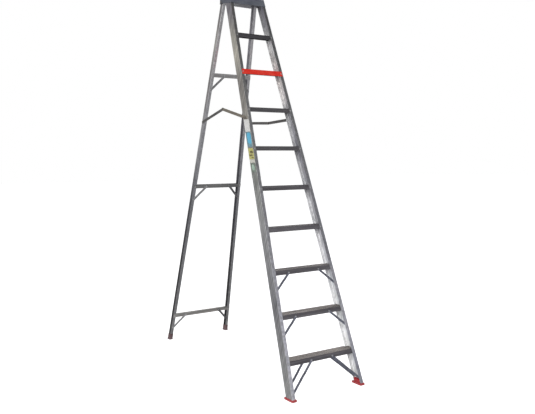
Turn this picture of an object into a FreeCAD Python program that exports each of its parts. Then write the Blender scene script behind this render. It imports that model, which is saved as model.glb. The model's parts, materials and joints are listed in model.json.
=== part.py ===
import FreeCAD, Part
import math
import os

os.makedirs("parts", exist_ok=True)

Vector = FreeCAD.Vector

# All lengths are millimetres. X runs along the treads, the front is toward -Y, the floor is Z = 0.
# "inward" is measured from the outer face of a stile or rail toward the middle of the ladder.
# "behind" is measured square to the front face of a frame, toward the rear.

# ---- front section -------------------------------------------------------------------------
FRONT_LEAN = math.radians(19.33)      # the top leans toward the rear
FRONT_FACE_Y = -980.0                 # front face of the stiles, carried down to the floor
FRONT_HALF_WIDTH = 307.5              # outer face of a stile, carried down to the floor
FRONT_TAPER = 0.0538                  # half width lost for each millimetre of height
STILE_DEPTH = 70.0
STILE_FLANGE = 27.0
STILE_WEB_T = 3.0
STILE_FLANGE_T = 3.2
STILE_BOTTOM_Z = 14.0
STILE_TOP_Z = 2841.7
STILE_GROOVES = (0.26, 0.74)          # shallow extrusion grooves, as fractions of the web depth
GROOVE_WIDTH = 4.0
GROOVE_DEPTH = 0.5
STILE_EDGE_R = 2.0
FLANGE_TIP_R = 0.8

# ---- treads --------------------------------------------------------------------------------
TREAD_COUNT = 9
LOWEST_TREAD_Z = 246.0
TREAD_RISE = 287.9
RIB_COUNT = 11
RIB_WIDTH = 4.0
RIB_PITCH = 8.0
RIB_HEIGHT = 1.2
TREAD_PLATE_T = 2.6
SKIRT_T = 2.4
FRONT_SKIRT_HEIGHT = 32.0
REAR_SKIRT_HEIGHT = 28.0
SKIRT_LIP = 9.0
TREAD_EDGE_R = 1.5
TREAD_TIP_R = 0.8
NOSING_DROP = 12.0
TREAD_RIVET_INWARD = 17.0
TREAD_RIVET_DROP = 16.0

# ---- cover on the second tread from the top ------------------------------------------------
COVERED_TREAD = 2
COVER_T = 2.5
COVER_END_GAP = 9.0                   # from the stile's outer face to the end of the cover
COVER_DROP = 36.0
COVER_REAR_DROP = 14.0
COVER_FLANGE_GAP = 0.5                # from a flange's tip to the end of the cover's top plate
COVER_EDGE_R = 2.0
COVER_TIP_R = 0.8

# ---- knee braces of the front section ------------------------------------------------------
BRACE_WIDTH = 16.0
BRACE_T = 2.5
BRACE_TOP_DROP = 20.0
BRACE_FOOT_INWARD = 15.0
SHORT_BRACE_INWARD = 136.0            # top end of the braces under treads 7 and 8
SHORT_BRACE_HEIGHT = 108.0
LONG_BRACE_INWARD = 206.0             # top end of the braces under tread 9
LONG_BRACE_HEIGHT = 180.0
STRIP_STEP_AT = 0.4                   # where a brace steps, as a fraction of its length
STRIP_STEP_LENGTH = 3.0               # in thicknesses
STRIP_END_ROUND = 0.98                # radius of the ends, as a fraction of half the width

# ---- front feet ----------------------------------------------------------------------------
FRONT_SOLE_X = (272.0, 312.0)
FRONT_SOLE_Y = (-984.0, -885.0)
FRONT_SOLE_T = 14.0
FRONT_SOLE_R = 6.0
SOLE_RIM_R = 2.5
FRONT_PLUG_TOP_Z = 36.0
FRONT_PLUG_SINK = 4.0                 # how far the plug reaches down into the sole
FRONT_PLUG_INSET = 1.0                # from a flange's tip to the plug
FRONT_PLUG_RADII = (1.0, 3.0, 3.0, 1.0)
PLUG_GAP = 0.25
FOOT_RIVET_Z = 25.0
FOOT_RIVET_BEHIND = (27.0, 43.0)
SOLE_GROOVE_PITCH = 9.0
SOLE_GROOVE_WIDTH = 3.0
SOLE_GROOVE_DEPTH = 2.0

# ---- rear section --------------------------------------------------------------------------
REAR_LEAN = math.radians(-16.3)       # the top leans toward the front
REAR_FOOT_Y = 980.0                   # rear face of the rails, carried down to the floor
REAR_HALF_WIDTH = 295.5
REAR_TAPER = 0.0507
RAIL_DEPTH = 40.0
RAIL_FLANGE = 24.0
RAIL_T = 2.2
RAIL_BOTTOM_Z = 12.0
RAIL_EDGE_R = 1.5
CROSSBAR_Z = {"bottom": 224.0, "middle": 1375.0, "top": 2270.0}
CROSSBAR_HEIGHT = 31.0
CROSSBAR_LEG = 18.0
CROSSBAR_T = 2.0
CROSSBAR_LEG_GAP = 0.5
CROSSBAR_RIVET_INWARD = 12.0
CROSSBAR_RIVET_SPACING = 11.0
CROSSBAR_RIVET_DROP = 1.5
CROSSBAR_TOP_R = 6.0
CROSSBAR_FOOT_R = 1.2
CROSSBAR_TIP_R = 0.6
REAR_BRACE_WIDTH = 19.0
REAR_BRACE_T = 2.0
REAR_BRACE_TOP_INWARD = 117.0
REAR_BRACE_FOOT_INWARD = 13.0
REAR_BRACE_HEIGHT = 112.0

# ---- rear feet -----------------------------------------------------------------------------
REAR_BOOT_TOP_Z = 52.0
REAR_BOOT_WALL = 2.2
REAR_BOOT_R = 3.0
REAR_SOLE_T = 10.0
REAR_SOLE_LIP = 4.0
REAR_SOLE_R = 4.0
REAR_MOST_Y = 984.0

# ---- top cap and hinge ---------------------------------------------------------------------
CAP_TOP_Z = 2846.0
CAP_FRONT_EDGE_Z = 2787.0
CAP_REAR_EDGE_Z = 2805.0
CAP_REAR_Y = 165.0
CAP_SIDE_RISE_Y = (20.0, 112.0)       # where the side skirt's lower edge rises to the rear edge
CAP_SIDE_CURVE_R = 40.0
CAP_WALL = 3.3
CAP_GAP = 0.3
CAP_TOP_T = 4.0
CAP_CORNER_R = 8.0
CAP_RIM_R = 4.0
HINGE_Z = 2815.0
HINGE_BOLT_R = 4.0
HINGE_RUNNING_GAP = 0.35
HINGE_SPACER_R = 8.0
HINGE_WASHER_R = 8.5
HINGE_WASHER_T = 2.2
HINGE_HEX_FLATS = 13.0
HINGE_HEX_EDGE_R = 0.8
HINGE_HEAD_T = 4.8
HINGE_NUT_T = 6.5
HINGE_BOLT_PROUD = 3.0
RAIL_NOSE_R = 20.0
CAP_RIVET_Z = 2816.0
CAP_RIVET_BEHIND = (10.0, 60.0)
CAP_FRONT_RIVET_Z = 2812.0
CAP_FRONT_RIVET_INWARD = 15.0

# ---- spreaders -----------------------------------------------------------------------------
FRONT_PIVOT = (-282.0, 1896.0)        # Y and Z on the stile
REAR_PIVOT = (398.0, 1904.0)          # Y and Z on the rail
LEFT_BAR = 350.0                      # length between pivots, left spreader, which stands raised
RIGHT_BAR = 340.4                     # the right spreader lies locked just past straight
BAR_WIDTH = 22.0
BAR_T = 3.0
BAR_RIB_HEIGHT = 0.8
BAR_RIB_WIDTH = 7.0
BAR_RIB_MARGIN = 26.0
REAR_BAR_X = 204.0                    # inner face of the rear bars
FRONT_BAR_X = 208.6                   # inner face of the front bars
PIVOT_R = 4.0
PIVOT_HOLE_R = 4.02                   # hole in a piece that the pivot is fixed to
PIVOT_RUNNING_GAP = 0.08
PIVOT_HEAD_R = 7.5
PIVOT_HEAD_T = 2.2
PIVOT_SIDE_GAP = 0.4
PIVOT_BUSH_R = 8.0
PIVOT_TAIL_T = 3.0
PIN_TAIL_R = 6.5
PIN_TAIL_T = 2.0
BUSH_END_X = 203.5

# ---- rivets --------------------------------------------------------------------------------
RIVET_R = 2.4
RIVET_HOLE_R = 2.45
RIVET_HEAD_R = 5.0
RIVET_HEAD_H = 1.8
RIVET_TAIL_R = 3.6
RIVET_TAIL_H = 1.5

SIDES = {"left": -1, "right": 1}
REACH = 1200.0                        # longer than any cut needs to be
DRILL_REACH = 20.0                    # how far a drill goes to each side of a face
CUT_MARGIN = 5.0                      # how far a cutting block stands clear of what it cuts
SEAT_OVERLAP = 2.0                    # how far a seat sinks into a face before it is trimmed to it


class SlantedFrame:
    """A leaning frame that narrows upward."""

    def __init__(self, lean, front_y, half_width, taper):
        self.lean = lean
        self.front_y = front_y
        self.half_width = half_width
        self.taper = taper

    def half(self, z):
        return self.half_width - self.taper * z

    def flat(self, distance):
        """Horizontal length of a distance measured square to the frame."""
        return distance / math.cos(self.lean)

    def y(self, behind, z):
        return self.front_y + z * math.tan(self.lean) + self.flat(behind)

    def point(self, side, inward, behind, z):
        return Vector(side * (self.half(z) - inward), self.y(behind, z), z)

    def rearward(self):
        return Vector(0, math.cos(self.lean), -math.sin(self.lean))

    def into_side(self, side):
        """Unit vector square to the outer face of a stile, pointing toward the middle."""
        return Vector(-side, 0, -self.taper).normalize()

    def through_side(self, thickness):
        """Distance square to the outer face of a thickness measured along X."""
        return thickness / math.hypot(1, self.taper)

    def upward(self):
        return Vector(0, math.sin(self.lean), math.cos(self.lean))

    def prism(self, side, outline, radii, z_low, z_high):
        """Sweep a horizontal outline of (inward, horizontal distance behind) along a stile."""
        corners = []
        for inward, back in outline:
            corners.append(Vector(side * (self.half(z_low) - inward), self.y(0, z_low) + back, z_low))
        rise = z_high - z_low
        travel = Vector(-side * self.taper * rise, math.tan(self.lean) * rise, rise)
        return rounded_face(corners, radii).extrude(travel)

    def between_sides(self, inward, z_low, z_high):
        """Everything lying nearer the middle than `inward` from both outer faces."""
        low = self.half(z_low) - inward
        high = self.half(z_high) - inward
        corners = [
            Vector(-low, -REACH, z_low),
            Vector(low, -REACH, z_low),
            Vector(high, -REACH, z_high),
            Vector(-high, -REACH, z_high),
        ]
        return rounded_face(corners, [0] * 4).extrude(Vector(0, 2 * REACH, 0))


def rounded_face(corners, radii):
    """Flat face through the corners, each one rounded by its own radius (0 stays sharp)."""
    count = len(corners)
    enters = []
    middles = []
    leaves = []
    for index in range(count):
        corner = corners[index]
        radius = radii[index]
        back = (corners[index - 1] - corner).normalize()
        ahead = (corners[(index + 1) % count] - corner).normalize()
        if radius == 0:
            enters.append(corner)
            middles.append(None)
            leaves.append(corner)
            continue
        half_angle = back.getAngle(ahead) / 2
        reach = radius / math.tan(half_angle)
        inward = (back + ahead).normalize()
        enters.append(corner + back * reach)
        middles.append(corner + inward * (radius / math.sin(half_angle) - radius))
        leaves.append(corner + ahead * reach)
    edges = []
    for index in range(count):
        if middles[index] is not None:
            edges.append(Part.Arc(enters[index], middles[index], leaves[index]).toShape())
        edges.append(Part.makeLine(leaves[index], enters[(index + 1) % count]))
    return Part.Face(Part.Wire(edges))


FRONT = SlantedFrame(FRONT_LEAN, FRONT_FACE_Y, FRONT_HALF_WIDTH, FRONT_TAPER)
REAR_FRONT_Y = REAR_FOOT_Y - RAIL_DEPTH / math.cos(REAR_LEAN)
REAR = SlantedFrame(REAR_LEAN, REAR_FRONT_Y, REAR_HALF_WIDTH, REAR_TAPER)
HINGE_Y = REAR.y(RAIL_DEPTH / 2, HINGE_Z)


def save(name, shape):
    shape.exportStep("parts/" + name + ".step")


def tread_top(number):
    return LOWEST_TREAD_Z + (TREAD_COUNT - number) * TREAD_RISE


def cylinder_x(radius, x_from, x_to, y, z):
    """Round bar along X."""
    start = min(x_from, x_to)
    return Part.makeCylinder(radius, abs(x_to - x_from), Vector(start, y, z), Vector(1, 0, 0))


def drill_x(radius, face_x, y, z):
    """Hole along X through whatever lies near one face."""
    return cylinder_x(radius, face_x - DRILL_REACH, face_x + DRILL_REACH, y, z)


# ---- rivets --------------------------------------------------------------------------------
class Rivet:
    """A domed rivet: where its head sits, the way it points and the thickness it clamps."""

    def __init__(self, seat, direction, grip, tail=True):
        self.seat = seat
        self.direction = direction
        self.grip = grip
        self.tail = tail

    def solid(self):
        dome_r = (RIVET_HEAD_R ** 2 + RIVET_HEAD_H ** 2) / (2 * RIVET_HEAD_H)
        half_turn = math.asin(RIVET_HEAD_R / dome_r) / 2
        crown = Vector(0, 0, -RIVET_HEAD_H)
        shoulder = Vector(dome_r * math.sin(half_turn), 0, dome_r * (1 - math.cos(half_turn)) - RIVET_HEAD_H)
        rim = Vector(RIVET_HEAD_R, 0, 0)
        outline = [rim, Vector(RIVET_R, 0, 0), Vector(RIVET_R, 0, self.grip)]
        end = self.grip
        if self.tail:
            end = self.grip + RIVET_TAIL_H
            outline.append(Vector(RIVET_TAIL_R, 0, self.grip))
            outline.append(Vector(RIVET_TAIL_R, 0, end))
        outline.append(Vector(0, 0, end))
        outline.append(crown)
        edges = [Part.Arc(crown, shoulder, rim).toShape()]
        for start, stop in zip(outline, outline[1:]):
            edges.append(Part.makeLine(start, stop))
        profile = Part.Face(Part.Wire(edges))
        shape = profile.revolve(Vector(0, 0, 0), Vector(0, 0, 1), 360)
        shape.Placement = FreeCAD.Placement(self.seat, FreeCAD.Rotation(Vector(0, 0, 1), self.direction))
        return shape

    def hole(self):
        start = self.seat - self.direction * RIVET_HEAD_R
        return Part.makeCylinder(RIVET_HOLE_R, self.grip + 2 * RIVET_HEAD_R, start, self.direction)


def drilled(shape, rivets):
    """Open the holes of the rivets that pass through a piece."""
    reach = shape.BoundBox
    reach.enlarge(RIVET_HEAD_R)
    holes = [rivet.hole() for rivet in rivets if reach.isInside(rivet.seat)]
    if not holes:
        return shape
    return shape.cut(Part.makeCompound(holes))


def save_rivets(name, rivets):
    save(name, Part.makeCompound([rivet.solid() for rivet in rivets]))


# ---- where every rivet goes ----------------------------------------------------------------
def tread_rivet_set():
    """One rivet through each flange of each stile at every tread."""
    rivets = []
    for number in range(1, TREAD_COUNT + 1):
        z = tread_top(number) - TREAD_RIVET_DROP
        cover = COVER_T if number == COVERED_TREAD else 0.0
        for side in SIDES.values():
            near = FRONT.point(side, TREAD_RIVET_INWARD, -cover, z)
            far = FRONT.point(side, TREAD_RIVET_INWARD, STILE_DEPTH, z)
            rivets.append(Rivet(near, FRONT.rearward(), cover + STILE_FLANGE_T + SKIRT_T))
            rivets.append(Rivet(far, FRONT.rearward() * -1, STILE_FLANGE_T + SKIRT_T))
    return rivets


def front_brace_ends():
    """Name, side, face, top point and foot point of every brace of the front section."""
    ends = []
    for number in (7, 8):
        z = tread_top(number) - BRACE_TOP_DROP
        for label, side in SIDES.items():
            top = FRONT.point(side, SHORT_BRACE_INWARD, 0, z)
            foot = FRONT.point(side, BRACE_FOOT_INWARD, 0, z - SHORT_BRACE_HEIGHT)
            ends.append(("tread_%d_brace_%s" % (number, label), "front", top, foot))
    z = tread_top(9) - BRACE_TOP_DROP
    for face, behind in (("front", 0.0), ("rear", STILE_DEPTH)):
        for label, side in SIDES.items():
            top = FRONT.point(side, LONG_BRACE_INWARD, behind, z)
            foot = FRONT.point(side, BRACE_FOOT_INWARD, behind, z - LONG_BRACE_HEIGHT)
            ends.append(("tread_9_%s_brace_%s" % (face, label), face, top, foot))
    return ends


def front_brace_rivet_set():
    """The top rivet clamps brace and skirt, the foot rivet clamps flange and brace."""
    rivets = []
    lift = STILE_FLANGE_T - BRACE_T
    for name, face, top, foot in front_brace_ends():
        into = FRONT.rearward() if face == "front" else FRONT.rearward() * -1
        rivets.append(Rivet(top + into * lift, into, BRACE_T + SKIRT_T))
        rivets.append(Rivet(foot, into, STILE_FLANGE_T + BRACE_T))
    return rivets


def front_foot_rivet_set():
    rivets = []
    for side in SIDES.values():
        for behind in FOOT_RIVET_BEHIND:
            seat = FRONT.point(side, 0, behind, FOOT_RIVET_Z)
            rivets.append(Rivet(seat, FRONT.into_side(side), 3 * STILE_WEB_T, tail=False))
    return rivets


def cap_rivet_set():
    rivets = []
    side_grip = FRONT.through_side(CAP_WALL + CAP_GAP + STILE_WEB_T)
    front_grip = CAP_WALL + CAP_GAP + STILE_FLANGE_T
    for side in SIDES.values():
        for behind in CAP_RIVET_BEHIND:
            seat = FRONT.point(side, -CAP_WALL - CAP_GAP, behind, CAP_RIVET_Z)
            rivets.append(Rivet(seat, FRONT.into_side(side), side_grip))
        seat = FRONT.point(side, CAP_FRONT_RIVET_INWARD, -CAP_WALL - CAP_GAP, CAP_FRONT_RIVET_Z)
        rivets.append(Rivet(seat, FRONT.rearward(), front_grip))
    return rivets


def rear_brace_ends():
    ends = []
    for place, z in CROSSBAR_Z.items():
        for label, side in SIDES.items():
            top = REAR.point(side, REAR_BRACE_TOP_INWARD, 0, z)
            foot = REAR.point(side, REAR_BRACE_FOOT_INWARD, 0, z - REAR_BRACE_HEIGHT)
            ends.append(("rear_brace_%s_%s" % (place, label), top, foot))
    return ends


def rear_rivet_set():
    rivets = []
    into = REAR.rearward()
    for z in CROSSBAR_Z.values():
        for side in SIDES.values():
            middle = REAR.point(side, CROSSBAR_RIVET_INWARD, -CROSSBAR_T, z)
            for step in (-0.5, 0.5):
                seat = middle + REAR.upward() * (CROSSBAR_RIVET_SPACING * step - CROSSBAR_RIVET_DROP)
                rivets.append(Rivet(seat, into, CROSSBAR_T + RAIL_T))
    for name, top, foot in rear_brace_ends():
        rivets.append(Rivet(top - into * (CROSSBAR_T + REAR_BRACE_T), into, CROSSBAR_T + REAR_BRACE_T))
        rivets.append(Rivet(foot - into * REAR_BRACE_T, into, REAR_BRACE_T + RAIL_T))
    return rivets


TREAD_RIVETS = tread_rivet_set()
FRONT_BRACE_RIVETS = front_brace_rivet_set()
FRONT_FOOT_RIVETS = front_foot_rivet_set()
CAP_RIVETS = cap_rivet_set()
REAR_RIVETS = rear_rivet_set()


# ---- stiles and treads ---------------------------------------------------------------------
def stile(side):
    """Channel with both flanges toward the middle and two shallow grooves on its outer face."""
    depth = FRONT.flat(STILE_DEPTH)
    flange_t = FRONT.flat(STILE_FLANGE_T)
    outline = [
        (0, 0),
        (STILE_FLANGE, 0),
        (STILE_FLANGE, flange_t),
        (STILE_WEB_T, flange_t),
        (STILE_WEB_T, depth - flange_t),
        (STILE_FLANGE, depth - flange_t),
        (STILE_FLANGE, depth),
        (0, depth),
    ]
    tip = FLANGE_TIP_R
    radii = [STILE_EDGE_R, tip, tip, 0, 0, tip, tip, STILE_EDGE_R]
    for fraction in reversed(STILE_GROOVES):
        middle = depth * fraction
        outline.append((0, middle + GROOVE_WIDTH / 2))
        outline.append((GROOVE_DEPTH, middle + GROOVE_WIDTH / 2 - GROOVE_DEPTH))
        outline.append((GROOVE_DEPTH, middle - GROOVE_WIDTH / 2 + GROOVE_DEPTH))
        outline.append((0, middle - GROOVE_WIDTH / 2))
        radii += [0, 0, 0, 0]
    shape = FRONT.prism(side, outline, radii, STILE_BOTTOM_Z, STILE_TOP_Z)
    shape = drilled(shape, TREAD_RIVETS + FRONT_BRACE_RIVETS + FRONT_FOOT_RIVETS + CAP_RIVETS)
    pivot_y, pivot_z = FRONT_PIVOT
    face = side * FRONT.half(pivot_z)
    return shape.cut(drill_x(PIVOT_HOLE_R, face, pivot_y, pivot_z))


def tread_outline(top_z):
    """Side view of a tread: ribbed plate, slanted front and rear skirts with lips, rear nosing."""
    skirt_front = STILE_FLANGE_T
    skirt_rear = STILE_DEPTH - STILE_FLANGE_T
    rib_floor = top_z - RIB_HEIGHT
    underside = rib_floor - TREAD_PLATE_T
    start_y = FRONT.y(skirt_front, top_z)
    end_y = start_y + (RIB_COUNT - 1) * RIB_PITCH + RIB_WIDTH
    corners = []
    radii = []

    def corner(y, z, radius=0.0):
        corners.append(Vector(0, y, z))
        radii.append(radius)

    front_low = top_z - FRONT_SKIRT_HEIGHT
    corner(FRONT.y(skirt_front, front_low), front_low, TREAD_EDGE_R)
    corner(start_y, top_z, TREAD_EDGE_R)
    for index in range(RIB_COUNT):
        rib_end = start_y + index * RIB_PITCH + RIB_WIDTH
        if index < RIB_COUNT - 1:
            corner(rib_end, top_z)
            corner(rib_end, rib_floor)
            corner(rib_end + RIB_PITCH - RIB_WIDTH, rib_floor)
            corner(rib_end + RIB_PITCH - RIB_WIDTH, top_z)
    corner(end_y, top_z, TREAD_EDGE_R)
    corner(end_y, top_z - NOSING_DROP, TREAD_TIP_R)
    corner(end_y - SKIRT_T, top_z - NOSING_DROP, TREAD_TIP_R)
    corner(end_y - SKIRT_T, underside)
    rear_low = top_z - REAR_SKIRT_HEIGHT
    rear_low_y = FRONT.y(skirt_rear, rear_low)
    corner(FRONT.y(skirt_rear, underside), underside)
    corner(rear_low_y, rear_low, TREAD_EDGE_R)
    corner(rear_low_y - SKIRT_LIP, rear_low, TREAD_TIP_R)
    corner(rear_low_y - SKIRT_LIP, rear_low + SKIRT_T, TREAD_TIP_R)
    corner(FRONT.y(skirt_rear - SKIRT_T, rear_low + SKIRT_T), rear_low + SKIRT_T)
    corner(FRONT.y(skirt_rear - SKIRT_T, underside), underside)
    corner(FRONT.y(skirt_front + SKIRT_T, underside), underside)
    inner_low_y = FRONT.y(skirt_front + SKIRT_T, front_low + SKIRT_T)
    corner(inner_low_y, front_low + SKIRT_T)
    corner(inner_low_y + SKIRT_LIP, front_low + SKIRT_T, TREAD_TIP_R)
    corner(inner_low_y + SKIRT_LIP, front_low, TREAD_TIP_R)
    return rounded_face(corners, radii)


def tread(number):
    """Tread between the webs of the stiles, notched where its rear passes the rear flanges."""
    top_z = tread_top(number)
    face = tread_outline(top_z)
    face.translate(Vector(-REACH / 2, 0, 0))
    shape = face.extrude(Vector(REACH, 0, 0))
    shape = shape.common(FRONT.between_sides(STILE_WEB_T, top_z - STILE_DEPTH, top_z + CUT_MARGIN))
    notch_front = FRONT.flat(STILE_DEPTH - STILE_FLANGE_T)
    notch_rear = notch_front + STILE_DEPTH
    notch = [
        (-CUT_MARGIN, notch_front),
        (STILE_FLANGE, notch_front),
        (STILE_FLANGE, notch_rear),
        (-CUT_MARGIN, notch_rear),
    ]
    notch_low = top_z - NOSING_DROP - CUT_MARGIN
    for side in SIDES.values():
        shape = shape.cut(FRONT.prism(side, notch, [0] * 4, notch_low, top_z + CUT_MARGIN))
    return drilled(shape, TREAD_RIVETS + FRONT_BRACE_RIVETS)


def red_cover():
    """Thin cover over the second tread: front face across the flanges, top plate between them."""
    top_z = tread_top(COVERED_TREAD)
    low_z = top_z - COVER_DROP
    high_z = top_z + COVER_T
    nosing = STILE_FLANGE_T / math.cos(FRONT_LEAN)
    start_y = FRONT.y(0, top_z)
    end_y = start_y + nosing + (RIB_COUNT - 1) * RIB_PITCH + RIB_WIDTH
    front_corners = [
        Vector(0, FRONT.y(-COVER_T, low_z), low_z),
        Vector(0, FRONT.y(-COVER_T, high_z), high_z),
        Vector(0, FRONT.y(0, high_z), high_z),
        Vector(0, FRONT.y(0, low_z), low_z),
    ]
    top_corners = [
        Vector(0, FRONT.y(-COVER_T, high_z) + COVER_T, high_z),
        Vector(0, end_y + COVER_T, high_z),
        Vector(0, end_y + COVER_T, top_z - COVER_REAR_DROP),
        Vector(0, end_y, top_z - COVER_REAR_DROP),
        Vector(0, end_y, top_z),
        Vector(0, FRONT.y(-COVER_T, top_z) + COVER_T, top_z),
    ]
    front_plate = rounded_face(front_corners, [COVER_TIP_R, COVER_EDGE_R, 0, COVER_TIP_R])
    top_plate = rounded_face(top_corners, [0, COVER_EDGE_R, COVER_TIP_R, COVER_TIP_R, 0, 0])
    pieces = []
    for face, inward in ((front_plate, COVER_END_GAP), (top_plate, STILE_FLANGE + COVER_FLANGE_GAP)):
        face.translate(Vector(-REACH / 2, 0, 0))
        bar = face.extrude(Vector(REACH, 0, 0))
        pieces.append(bar.common(FRONT.between_sides(inward, low_z - CUT_MARGIN, high_z + CUT_MARGIN)))
    shape = pieces[0].fuse(pieces[1]).removeSplitter()
    return drilled(shape, TREAD_RIVETS)


# ---- flat strips ---------------------------------------------------------------------------
def strip(top, foot, square, width, thickness, top_level, foot_level):
    """Flat strip with round ends that steps from one level to another along its length.

    `square` points square to the strip. A level is the height of the strip's near face along
    `square` above the two end points.
    """
    along = foot - top
    length = along.Length
    along.normalize()
    across = square.cross(along)
    half = width / 2
    step_from = length * STRIP_STEP_AT
    step_to = step_from + STRIP_STEP_LENGTH * thickness
    side_view = [
        Vector(-half, 0, top_level),
        Vector(step_from, 0, top_level),
        Vector(step_to, 0, foot_level),
        Vector(length + half, 0, foot_level),
        Vector(length + half, 0, foot_level + thickness),
        Vector(step_to, 0, foot_level + thickness),
        Vector(step_from, 0, top_level + thickness),
        Vector(-half, 0, top_level + thickness),
    ]
    bar = rounded_face(side_view, [0] * 8)
    bar.translate(Vector(0, -half, 0))
    bar = bar.extrude(Vector(0, width, 0))
    low = min(top_level, foot_level) - thickness
    plan = [
        Vector(-half, -half, low),
        Vector(length + half, -half, low),
        Vector(length + half, half, low),
        Vector(-half, half, low),
    ]
    ends = rounded_face(plan, [half * STRIP_END_ROUND] * 4).extrude(Vector(0, 0, width))
    shape = bar.common(ends)
    matrix = FreeCAD.Matrix(
        along.x, across.x, square.x, top.x,
        along.y, across.y, square.y, top.y,
        along.z, across.z, square.z, top.z,
        0, 0, 0, 1)
    shape.Placement = FreeCAD.Placement(matrix)
    return shape


def front_brace(face, top, foot):
    """From the tread's skirt down to the inside of the stile's flange."""
    into = FRONT.rearward() if face == "front" else FRONT.rearward() * -1
    top_level = STILE_FLANGE_T - BRACE_T
    shape = strip(top, foot, into, BRACE_WIDTH, BRACE_T, top_level, STILE_FLANGE_T)
    return drilled(shape, FRONT_BRACE_RIVETS)


def rear_brace(top, foot):
    """From the front of a crossbar down to the front of the rail's flange."""
    top_level = -CROSSBAR_T - REAR_BRACE_T
    shape = strip(top, foot, REAR.rearward(), REAR_BRACE_WIDTH, REAR_BRACE_T, top_level, -REAR_BRACE_T)
    return drilled(shape, REAR_RIVETS)


# ---- feet ----------------------------------------------------------------------------------
def sole_grooves(x_low, x_high, y_low, y_high):
    """Grip grooves across the underside of a foot."""
    grooves = []
    y = y_low + SOLE_GROOVE_PITCH
    while y < y_high - SOLE_GROOVE_PITCH / 2:
        corner = Vector(x_low - CUT_MARGIN, y - SOLE_GROOVE_WIDTH / 2, -CUT_MARGIN)
        length = x_high - x_low + 2 * CUT_MARGIN
        grooves.append(Part.makeBox(length, SOLE_GROOVE_WIDTH, SOLE_GROOVE_DEPTH + CUT_MARGIN, corner))
        y += SOLE_GROOVE_PITCH
    return Part.makeCompound(grooves)


def sole(side, x_range, y_range, thickness, corner_r):
    inner, outer = x_range
    front, back = y_range
    corners = [
        Vector(side * inner, front, 0),
        Vector(side * outer, front, 0),
        Vector(side * outer, back, 0),
        Vector(side * inner, back, 0),
    ]
    shape = rounded_face(corners, [corner_r] * 4).extrude(Vector(0, 0, thickness))
    rim = [edge for edge in shape.Edges if edge.BoundBox.ZMin > thickness - 0.01]
    shape = shape.makeFillet(SOLE_RIM_R, rim)
    ends = sorted((side * inner, side * outer))
    return shape.cut(sole_grooves(ends[0], ends[1], front, back))


def front_foot(side):
    """Grooved sole with a plug that fills the end of the stile channel."""
    depth = FRONT.flat(STILE_DEPTH)
    near = FRONT.flat(STILE_FLANGE_T) + PLUG_GAP
    inner = STILE_WEB_T + PLUG_GAP
    open_side = STILE_FLANGE - FRONT_PLUG_INSET
    outline = [(inner, near), (open_side, near), (open_side, depth - near), (inner, depth - near)]
    plug = FRONT.prism(side, outline, FRONT_PLUG_RADII, STILE_BOTTOM_Z - FRONT_PLUG_SINK, FRONT_PLUG_TOP_Z)
    shape = sole(side, FRONT_SOLE_X, FRONT_SOLE_Y, FRONT_SOLE_T, FRONT_SOLE_R).fuse(plug).removeSplitter()
    return drilled(shape, FRONT_FOOT_RIVETS)


def rear_foot(side):
    """Boot around the end of the rail, with a wider grooved sole."""
    depth = REAR.flat(RAIL_DEPTH)
    wall = REAR_BOOT_WALL
    boot_outline = [
        (-wall, -wall),
        (RAIL_FLANGE + wall, -wall),
        (RAIL_FLANGE + wall, depth + wall),
        (-wall, depth + wall),
    ]
    boot = REAR.prism(side, boot_outline, [REAR_BOOT_R] * 4, REAR_SOLE_T / 2, REAR_BOOT_TOP_Z)
    inner = REAR.half(0) - RAIL_FLANGE - REAR_SOLE_LIP
    outer = REAR.half(0) + REAR_SOLE_LIP
    front = REAR.y(0, 0) - REAR_SOLE_LIP - wall
    base = sole(side, (inner, outer), (front, REAR_MOST_Y), REAR_SOLE_T, REAR_SOLE_R)
    shape = base.fuse(boot).removeSplitter()
    return shape.cut(plain_rail(side))


# ---- rear section --------------------------------------------------------------------------
def plain_rail(side):
    """Undrilled channel, its top rounded about the hinge."""
    depth = REAR.flat(RAIL_DEPTH)
    flange_t = REAR.flat(RAIL_T)
    outline = [
        (0, 0),
        (RAIL_FLANGE, 0),
        (RAIL_FLANGE, flange_t),
        (RAIL_T, flange_t),
        (RAIL_T, depth - flange_t),
        (RAIL_FLANGE, depth - flange_t),
        (RAIL_FLANGE, depth),
        (0, depth),
    ]
    radii = [RAIL_EDGE_R, FLANGE_TIP_R, 0, 0, 0, 0, FLANGE_TIP_R, RAIL_EDGE_R]
    shape = REAR.prism(side, outline, radii, RAIL_BOTTOM_Z, HINGE_Z + 2 * RAIL_NOSE_R)
    above = Part.makeBox(REACH, REACH, REACH, Vector(-REACH / 2, -REACH / 2, 0))
    tilt = FreeCAD.Rotation(Vector(1, 0, 0), -math.degrees(REAR_LEAN))
    above.Placement = FreeCAD.Placement(Vector(0, HINGE_Y, HINGE_Z), tilt).multiply(above.Placement)
    nose = cylinder_x(RAIL_NOSE_R, -REACH / 2, REACH / 2, HINGE_Y, HINGE_Z)
    return shape.cut(above.cut(nose))


def rail(side):
    shape = drilled(plain_rail(side), REAR_RIVETS)
    hinge = drill_x(HINGE_BOLT_R + PIVOT_RUNNING_GAP, side * REAR.half(HINGE_Z), HINGE_Y, HINGE_Z)
    pivot_y, pivot_z = REAR_PIVOT
    pivot = drill_x(PIVOT_HOLE_R, side * REAR.half(pivot_z), pivot_y, pivot_z)
    return shape.cut(hinge).cut(pivot)


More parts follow.
